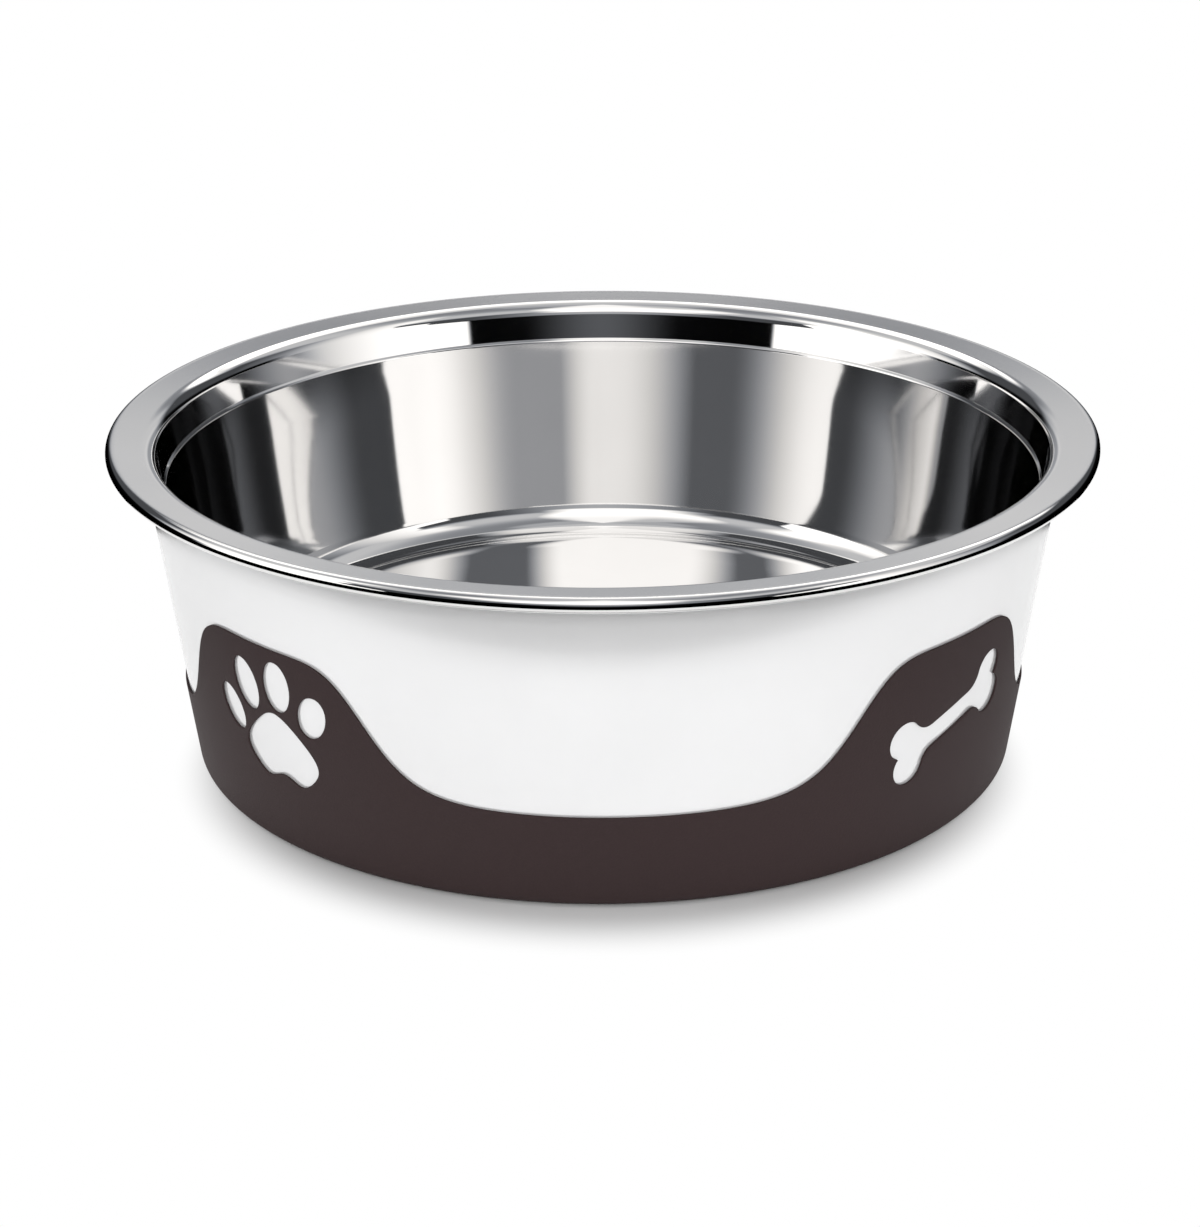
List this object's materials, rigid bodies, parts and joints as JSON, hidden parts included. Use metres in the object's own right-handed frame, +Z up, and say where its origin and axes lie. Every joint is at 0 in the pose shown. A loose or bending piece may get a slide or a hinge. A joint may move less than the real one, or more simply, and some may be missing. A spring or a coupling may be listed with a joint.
{
  "type": "dog bowl",
  "caption": "Round double-walled steel dog bowl with a flat rolled rim, a wavy rubber grip skirt with paw and bone windows, and a rubber foot ring.",
  "frame": {"origin": "centre of the foot ring's underside, on the floor", "axes": "+Z up along the bowl's axis; the front, between a paw window on the left and a bone window on the right, faces -Y"},
  "size_m": [0.21, 0.21, 0.0707],
  "materials": {
    "polished_steel": "polished, with a fine spun grain",
    "satin_steel": "soft satin",
    "skirt_rubber": "matte, fine grained, dark brown",
    "foot_rubber": "matte"
  },
  "bodies": {
    "root": {"inner_bowl": "polished_steel", "outer_shell": "satin_steel", "grip_skirt": "skirt_rubber", "foot_ring": "foot_rubber"}
  },
  "joints": []
}
